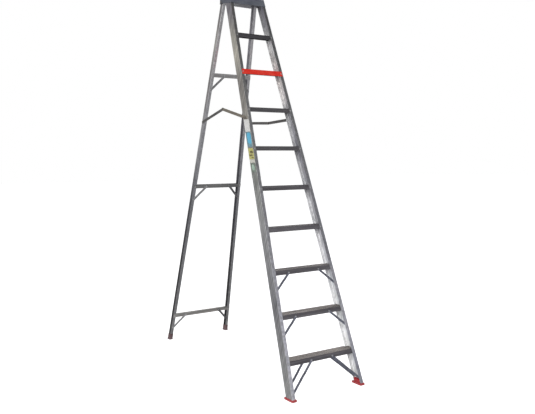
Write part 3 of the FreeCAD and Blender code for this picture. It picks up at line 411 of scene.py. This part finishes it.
def fastener_metal(name, light, dark, rough):
    """Pressed metal with a turned grain and patchy dark grime."""
    material, nodes, links = new_material(name)
    shader = shader_of(nodes)
    space = object_coordinates(nodes, links)
    grain = noise(nodes, links, space, 900.0, detail=4.0, roughness=0.7)
    clouds = noise(nodes, links, space, 130.0, detail=4.0)
    colour = blend(nodes, links, ramp(nodes, links, grain, ((0.3, dark), (0.7, light))),
                   ramp(nodes, links, clouds, ((0.35, 0.6), (0.6, 1.0))), 0.8, "MULTIPLY")
    links.new(colour, shader.inputs["Base Color"])
    links.new(ramp(nodes, links, grain, ((0.3, rough), (0.7, rough + 0.2))), shader.inputs["Roughness"])
    shader.inputs["Metallic"].default_value = 0.85
    links.new(bump(nodes, links, grain, 0.2, 0.0002), shader.inputs["Normal"])
    return material


def vinyl(name, colour, pale, marks=None):
    """Printed vinyl sticker, sun-faded and scuffed."""
    material, nodes, links = new_material(name)
    shader = shader_of(nodes)
    space = object_coordinates(nodes, links)
    clouds = noise(nodes, links, space, 45.0, detail=5.0, roughness=0.65)
    scuffs = noise(nodes, links, object_coordinates(nodes, links, scale=(1.0, 1.0, 0.3)), 420.0, 5.0, 0.7)
    base = ramp(nodes, links, clouds, ((0.32, colour), (0.78, pale)))
    worn = ramp(nodes, links, scuffs, ((0.58, 0.0), (0.72, 1.0)))
    links.new(blend(nodes, links, base, pale, worn), shader.inputs["Base Color"])
    links.new(ramp(nodes, links, scuffs, ((0.35, 0.28), (0.75, 0.55))), shader.inputs["Roughness"])
    shader.inputs["Coat Weight"].default_value = 0.3
    shader.inputs["Coat Roughness"].default_value = 0.25
    links.new(bump(nodes, links, scuffs, 0.1, 0.0002), shader.inputs["Normal"])
    return material


def front_stile_skin(nodes, links):
    return depth_mask(nodes, links, FRONT_LEAN, FRONT_FACE_Y, *FRONT_SKIN_FADE)


def rear_stile_skin(nodes, links):
    none_at, full_at = (STILE_DEPTH - ahead for ahead in REAR_SKIN_FADE)
    return depth_mask(nodes, links, FRONT_LEAN, FRONT_FACE_Y, none_at, full_at)


def front_rail_skin(nodes, links):
    front_y = REAR_FACE_Y - RAIL_DEPTH / math.cos(REAR_LEAN)
    return depth_mask(nodes, links, REAR_LEAN, front_y, *FRONT_SKIN_FADE)


def inside_mask(nodes, links, skin):
    """1 on the faces inside a channel: neither the front skin nor the outer side."""
    covered = nodes.new("ShaderNodeMath")
    covered.operation = "MAXIMUM"
    links.new(skin(nodes, links), covered.inputs[0])
    links.new(outer_side_mask(nodes, links), covered.inputs[1])
    return map_range(nodes, links, covered.outputs[0], 1.0, 0.0)


def stile_inside(nodes, links):
    return inside_mask(nodes, links, front_stile_skin)


def rail_inside(nodes, links):
    return inside_mask(nodes, links, front_rail_skin)


def stile_shade(nodes, links):
    """Painted light, shade and reflection on the stiles; the right stile's front gets its own painted shade,
    darker low down than the left one's.
    """
    left = height_shade(nodes, links, STILE_FRONT)
    right = height_shade(nodes, links, STILE_FRONT_RIGHT)
    is_right = map_range(nodes, links, axis_value(nodes, links, "Object", "X"), *RIGHT_SIDE_FADE)
    front = blend(nodes, links, left, right, is_right)
    rear = height_shade(nodes, links, STILE_REAR)
    inner = blend(nodes, links, height_shade(nodes, links, STILE_INNER), rear, rear_stile_skin(nodes, links))
    shade = blend(nodes, links, inner, front, front_stile_skin(nodes, links))
    return blend(nodes, links, shade, height_shade(nodes, links, STILE_OUTER), outer_side_mask(nodes, links))


# Painted light, shade and reflection on the rear rails, by height and by face.
def rail_shade(nodes, links):
    inner = height_shade(nodes, links, RAIL_INNER)
    shade = blend(nodes, links, inner, height_shade(nodes, links, RAIL_OUTER), outer_side_mask(nodes, links))
    return blend(nodes, links, shade, height_shade(nodes, links, RAIL_FRONT), front_rail_skin(nodes, links))


# Painted shade on the middle crossbar and painted light on the top one.
def crossbar_shade(nodes, links):
    return height_shade(nodes, links, CROSSBAR_SHADE)


def tread_shade(nodes, links):
    """Painted shade on the upright faces; painted light on the tops."""
    front = height_shade(nodes, links, TREAD_FRONT)
    return blend(nodes, links, front, height_shade(nodes, links, TREAD_TOP), top_mask(nodes, links))


def make_materials():
    return {
        "stile_aluminium": aluminium(
            "stile_aluminium", (0.80, 0.80, 0.79), (0.62, 0.62, 0.61), FRONT_ALONG, shade=stile_shade,
            chalk=stile_inside),
        "tread_aluminium": aluminium(
            "tread_aluminium", (0.42, 0.39, 0.38), (0.24, 0.225, 0.22), TREAD_ALONG,
            metallic=0.7, rough=(0.40, 0.60), shade=tread_shade),
        "rail_aluminium": aluminium(
            "rail_aluminium", (0.78, 0.78, 0.79), (0.58, 0.58, 0.59), REAR_ALONG, shade=rail_shade,
            chalk=rail_inside),
        "crossbar_aluminium": aluminium(
            "crossbar_aluminium", (0.66, 0.65, 0.63), (0.44, 0.43, 0.42), TREAD_ALONG,
            shade=crossbar_shade),
        "brace_aluminium": aluminium(
            "brace_aluminium", (0.31, 0.32, 0.37), (0.20, 0.21, 0.25), FRONT_ALONG),
        # one metal in a lit and a shaded copy: painted light on the rear left braces, painted shade on the
        # right ones
        "light_brace": aluminium("light_brace", (0.72, 0.72, 0.72), (0.50, 0.50, 0.50), REAR_ALONG),
        "dark_brace": aluminium("dark_brace", (0.34, 0.34, 0.34), (0.20, 0.20, 0.21), REAR_ALONG),
        "spreader_aluminium": aluminium(
            "spreader_aluminium", (0.40, 0.39, 0.37), (0.26, 0.25, 0.24), SPREADER_ALONG),
        # painted warm light on the left spreader's front bar
        "spreader_painted_warm_light": aluminium(
            "spreader_painted_warm_light", (0.66, 0.60, 0.50), (0.44, 0.39, 0.32), SPREADER_ALONG),
        "rivet_steel": fastener_metal("rivet_steel", (0.84, 0.83, 0.82), (0.52, 0.51, 0.50), 0.28),
        "hardware_steel": fastener_metal("hardware_steel", (0.45, 0.44, 0.42), (0.20, 0.19, 0.18), 0.35),
        "red_plastic": moulded_plastic("red_plastic", (0.58, 0.014, 0.006), (0.62, 0.050, 0.024), 0.46),
        "cap_plastic": moulded_plastic(
            "cap_plastic", (0.070, 0.077, 0.095), (0.115, 0.125, 0.145), 0.48, dust_and_painted_light=(0.80, 0.80, 0.82)),
        "red_foot": dusty_rubber("red_foot", (0.46, 0.014, 0.024), (0.36, 0.24, 0.22), 0.04),
        "maroon_foot": dusty_rubber("maroon_foot", (0.14, 0.080, 0.084), (0.27, 0.23, 0.23), 0.06),
        "sticker_white": vinyl("sticker_white", (0.58, 0.58, 0.56), (0.66, 0.65, 0.64)),
        "sticker_blue": vinyl("sticker_blue", (0.06, 0.36, 0.56), (0.15, 0.46, 0.62)),
        "sticker_teal": vinyl("sticker_teal", (0.10, 0.22, 0.27), (0.20, 0.33, 0.38)),
        "sticker_moss": vinyl("sticker_moss", (0.13, 0.16, 0.13), (0.22, 0.25, 0.22)),
        "sticker_yellow": vinyl("sticker_yellow", (0.42, 0.40, 0.11), (0.50, 0.48, 0.22)),
        "sticker_pale": vinyl("sticker_pale", (0.50, 0.50, 0.44), (0.58, 0.58, 0.52)),
        "sticker_green": vinyl("sticker_green", (0.24, 0.38, 0.29), (0.42, 0.50, 0.44)),
        "sticker_dark": vinyl("sticker_dark", (0.10, 0.085, 0.02), (0.20, 0.17, 0.08)),
    }


def material_name(node):
    """Which material a CAD node wears: its slot in the record, with these few exceptions.

    Crossbars are drawn along X, the rear frame's left braces wear painted light and its right braces
    painted shade, the left spreader's front bar wears a painted warm light that makes it browner than
    the other bars, and the rivets through the cap are painted with it.
    """
    if node.startswith("rear_crossbar"):
        return "crossbar_aluminium"
    if node.startswith("rear_brace"):
        return "dark_brace" if node.endswith("right") else "light_brace"
    if node == "spreader_left_front_bar":
        return "spreader_painted_warm_light"
    if node == "cap_rivets":
        return "cap_plastic"
    for entry in frame["record"]["subparts"]:
        if entry["node"] == node:
            return entry["material_slot"]
    raise ValueError(node)


def dress_frame(materials):
    for node, piece in NODES.items():
        material = materials[material_name(node)]
        piece.data.materials.clear()
        piece.data.materials.append(material)


# ---- stickers -------------------------------------------------------------------------------
def web_point(behind, height, off):
    """Point on the outer face of the left stile; `behind` is square to the front face."""
    y = FRONT_FACE_Y + height * math.tan(FRONT_LEAN) + behind / math.cos(FRONT_LEAN)
    x = -(FRONT_HALF_WIDTH - FRONT_TAPER * height) - off
    return Vector((x, y, height))


def rounded_rectangle(low, high, left, right, radius, steps=6):
    """Outline points (across, height), counted anticlockwise."""
    outline = []
    corners = (
        (right - radius, high - radius, 0),
        (left + radius, high - radius, 90),
        (left + radius, low + radius, 180),
        (right - radius, low + radius, 270),
    )
    for across, height, start in corners:
        for step in range(steps + 1):
            angle = math.radians(start + 90 * step / steps)
            outline.append((across + radius * math.cos(angle), height + radius * math.sin(angle)))
    return outline


def sheet_piece(name, outline, off, thickness, material):
    """Thin plate with a softened edge lying on the stile's outer face."""
    mesh = bpy.data.meshes.new(name)
    shape = bmesh.new()
    inner = [shape.verts.new(web_point(behind, height, off)) for behind, height in outline]
    centre_behind = sum(point[0] for point in outline) / len(outline)
    centre_height = sum(point[1] for point in outline) / len(outline)
    edge = thickness * SHEET_EDGE
    rim = []
    top = []
    for behind, height in outline:
        rim.append(shape.verts.new(web_point(behind, height, off + thickness - edge * SHEET_EDGE_DROP)))
        reach = Vector((centre_behind - behind, centre_height - height))
        reach.normalize()
        top.append(shape.verts.new(web_point(
            behind + reach.x * edge, height + reach.y * edge, off + thickness)))
    count = len(outline)
    for index in range(count):
        after = (index + 1) % count
        shape.faces.new((inner[index], inner[after], rim[after], rim[index]))
        shape.faces.new((rim[index], rim[after], top[after], top[index]))
    shape.faces.new(top)
    shape.faces.new(list(reversed(inner)))
    bmesh.ops.recalc_face_normals(shape, faces=shape.faces)
    shape.to_mesh(mesh)
    shape.free()
    piece = bpy.data.objects.new(name, mesh)
    bpy.context.scene.collection.objects.link(piece)
    piece.data.materials.append(material)
    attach(piece, "front_frame")


def add_stickers(materials):
    """Faded blocks of colour, and the plain shapes printed on them."""
    near = STICKER_MARGIN
    far = STILE_DEPTH - STICKER_MARGIN
    for name, high, low in STICKERS:
        outline = rounded_rectangle(low, high, near, far, STICKER_CORNER_R)
        sheet_piece("sticker_" + name, outline, 0.0, STICKER_THICKNESS, materials["sticker_" + name])
    for name, colour, high, low, left, right, radius in PRINTED_SHAPES:
        outline = rounded_rectangle(low, high, left, right, radius)
        sheet_piece("sticker_" + name, outline, STICKER_THICKNESS, PRINT_THICKNESS,
                    materials["sticker_" + colour])


# ---- stage ----------------------------------------------------------------------------------
def make_stage():
    """Pale seamless floor. The metal mirrors the soft walls of make_world instead of the floor."""
    mesh = bpy.data.meshes.new("studio_floor")
    shape = bmesh.new()
    corners = ((-1, -1), (1, -1), (1, 1), (-1, 1))
    shape.faces.new([shape.verts.new((FLOOR_REACH * x, FLOOR_REACH * y, 0.0)) for x, y in corners])
    shape.to_mesh(mesh)
    shape.free()
    material, nodes, _ = new_material("studio_floor")
    shader = shader_of(nodes)
    shader.inputs["Base Color"].default_value = (0.80, 0.80, 0.80, 1.0)
    shader.inputs["Roughness"].default_value = 0.9
    shader.inputs["Specular IOR Level"].default_value = 0.0
    shader.inputs["Emission Color"].default_value = (1.0, 1.0, 1.0, 1.0)
    shader.inputs["Emission Strength"].default_value = FLOOR_GLOW
    floor = bpy.data.objects.new("studio_floor", mesh)
    bpy.context.scene.collection.objects.link(floor)
    floor.data.materials.append(material)
    floor.visible_glossy = False
    floor.visible_diffuse = False


def wall_stops(walls):
    return [(0.5 + 0.5 * math.sin(math.radians(angle)), colour) for angle, colour in walls]


def make_world():
    """Soft studio walls whose brightness changes with the angle above the horizon, behind white."""
    world = bpy.data.worlds.new("studio")
    bpy.context.scene.world = world
    world.use_nodes = True
    nodes = world.node_tree.nodes
    links = world.node_tree.links
    background = nodes["Background"]
    source = nodes.new("ShaderNodeTexCoord")
    split = nodes.new("ShaderNodeSeparateXYZ")
    links.new(source.outputs["Generated"], split.inputs["Vector"])
    height = map_range(nodes, links, split.outputs["Z"], -1.0, 1.0)
    walls = ramp(nodes, links, height, wall_stops(WALLS))
    dark_wall = ramp(nodes, links, height, wall_stops(DARK_WALL))
    facing = nodes.new("ShaderNodeVectorMath")
    facing.operation = "DOT_PRODUCT"
    facing.inputs[1].default_value = DARK_WALL_TOWARD
    links.new(source.outputs["Generated"], facing.inputs[0])
    side = map_range(nodes, links, facing.outputs["Value"], *DARK_WALL_FADE)
    around = blend(nodes, links, walls, dark_wall, side)
    path = nodes.new("ShaderNodeLightPath")
    seen = blend(nodes, links, around, (1.0, 1.0, 1.0), path.outputs["Is Camera Ray"])
    links.new(seen, background.inputs["Color"])


def add_light(name, place, width, height, power, shines_in_metal=True):
    """Soft box that looks at the middle of the ladder."""
    lamp = bpy.data.lights.new(name, "AREA")
    lamp.shape = "RECTANGLE"
    lamp.size = width
    lamp.size_y = height
    lamp.energy = power
    holder = bpy.data.objects.new(name, lamp)
    bpy.context.scene.collection.objects.link(holder)
    holder.location = place
    direction = LIGHT_TARGET - Vector(place)
    holder.rotation_euler = direction.to_track_quat("-Z", "Y").to_euler()
    holder.visible_camera = False
    holder.visible_glossy = shines_in_metal


def make_lights():
    add_light("key", (-4.6, -6.6, 5.2), 4.5, 9.0, 270.0)
    add_light("front_fill", (2.5, -6.5, 4.5), 4.0, 4.0, 190.0, shines_in_metal=False)
    add_light("rear_fill", (5.5, 4.0, 4.5), 4.0, 4.0, 90.0)
    add_light("side_fill", (-6.0, -2.5, 1.6), 4.0, 4.0, 250.0, shines_in_metal=False)


def make_camera():
    level = Vector((math.cos(CAMERA_AZIMUTH), -math.sin(CAMERA_AZIMUTH), 0.0))
    forward = Vector((
        math.sin(CAMERA_AZIMUTH) * math.cos(CAMERA_PITCH),
        math.cos(CAMERA_AZIMUTH) * math.cos(CAMERA_PITCH),
        math.sin(CAMERA_PITCH)))
    upright = level.cross(forward)
    right = level * math.cos(CAMERA_ROLL) + upright * math.sin(CAMERA_ROLL)
    up = upright * math.cos(CAMERA_ROLL) - level * math.sin(CAMERA_ROLL)
    data = bpy.data.cameras.new("camera")
    data.lens = CAMERA_LENS
    data.sensor_width = CAMERA_SENSOR
    camera = bpy.data.objects.new("camera", data)
    bpy.context.scene.collection.objects.link(camera)
    turn = Matrix((right, up, -forward)).transposed()
    camera.matrix_world = Matrix.Translation(CAMERA_PLACE) @ turn.to_4x4()
    bpy.context.scene.camera = camera


def build():
    materials = make_materials()
    dress_frame(materials)
    add_stickers(materials)
    make_stage()
    make_world()
    make_lights()
    make_camera()
    bpy.context.scene.view_settings.view_transform = "Standard"


build()
